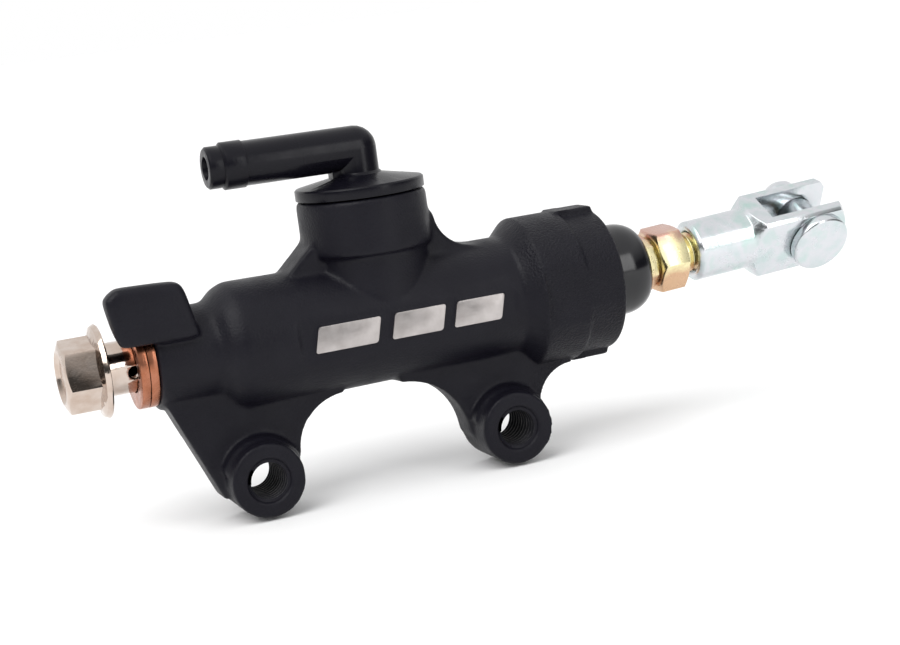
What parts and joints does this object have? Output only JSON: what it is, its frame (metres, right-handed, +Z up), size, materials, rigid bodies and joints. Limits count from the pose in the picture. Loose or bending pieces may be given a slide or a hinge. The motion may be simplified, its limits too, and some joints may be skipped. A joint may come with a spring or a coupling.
{
  "type": "brake master cylinder",
  "caption": "Rear brake master cylinder: two-lug cast body, angled hose inlet, spring-returned piston, booted push rod with lock nut and clevis, flange banjo bolt at the outlet.",
  "frame": {"origin": "midway between the two mounting holes, on the mounting face of their bosses", "axes": "+X along the row of holes and the bore towards the clevis, +Y into the cylinder from the mounting face, +Z up towards the reservoir inlet"},
  "size_m": [0.1627, 0.0296, 0.0691],
  "materials": {
    "black_paint": "fine-grained satin black paint on cast aluminium",
    "aluminium": "turned",
    "seal_rubber": "smooth",
    "plain_steel": "bare",
    "yellow_zinc": "yellow passivated zinc plate on steel",
    "clear_zinc": "clear blue zinc plate on steel",
    "boot_rubber": "glossy moulded rubber",
    "black_plastic": "moulded black plastic",
    "copper": "turned copper",
    "nickel": "bright nickel plate on steel"
  },
  "bodies": {
    "housing": {"cylinder_body": "black_paint", "stop_washer": "plain_steel", "circlip": "plain_steel", "dust_boot": "boot_rubber", "return_spring": "plain_steel", "inlet_snap_ring": "plain_steel"},
    "piston_group": {"piston": "aluminium", "primary_cup": "seal_rubber", "secondary_cup": "seal_rubber", "cup_washer": "plain_steel", "spring_seat": "plain_steel"},
    "rod": {"push_rod": "yellow_zinc"},
    "nut": {"lock_nut": "yellow_zinc"},
    "fork": {"clevis": "clear_zinc"},
    "pin": {"clevis_pin": "clear_zinc", "pin_clip": "plain_steel"},
    "elbow": {"hose_elbow": "black_plastic", "inlet_o_ring": "seal_rubber"},
    "washers": {"copper_washer_inner": "copper", "copper_washer_outer": "copper"},
    "bolt": {"banjo_bolt": "nickel"}
  },
  "joints": [
    {"name": "piston_stroke", "type": "slide", "parent": "housing", "child": "piston_group", "axis": [1, 0, 0], "range_m": [-0.0095, 0], "stiffness_N_per_m": 1500, "springref_m": 0.006, "deforming": ["return_spring", "dust_boot"]},
    {"name": "rod_tilt", "type": "hinge", "parent": "piston_group", "child": "rod", "pos_m": [0.0373, 0.0111, 0.0241], "axis": [0, 1, 0], "range_deg": [-0.2, 6.4], "deforming": ["dust_boot"]},
    {"name": "rod_length", "type": "slide", "parent": "rod", "child": "nut", "axis": [0.9984, 0, 0.0558], "range_m": [-0.0004, 0.0046]},
    {"name": "clevis_turn", "type": "hinge", "parent": "nut", "child": "fork", "pos_m": [0.0373, 0.0111, 0.0241], "axis": [0.9984, 0, 0.0558], "range_deg": [-116, 1325]},
    {"name": "pin_turn", "type": "hinge", "parent": "fork", "child": "pin", "pos_m": [0.09791, 0.0111, 0.02749], "axis": [-0.0296, 0.848, 0.5291], "continuous": true},
    {"name": "elbow_swivel", "type": "hinge", "parent": "housing", "child": "elbow", "pos_m": [0.00325, 0.0111, 0.0241], "axis": [0, 0, 1], "continuous": true},
    {"name": "bolt_turn", "type": "hinge", "parent": "housing", "child": "washers", "pos_m": [-0.0415, 0.0111, 0.0241], "axis": [1, 0, 0], "range_deg": [-720, 1368]},
    {"name": "bolt_advance", "type": "slide", "parent": "washers", "child": "bolt", "axis": [1, 0, 0], "range_m": [-0.0026, 0.0049]}
  ],
  "couplings": [
    {"joint": "clevis_turn", "follows": "rod_length", "rad_per_m": 5026.5},
    {"joint": "bolt_advance", "follows": "bolt_turn", "m_per_rad": 0.00019894}
  ]
}
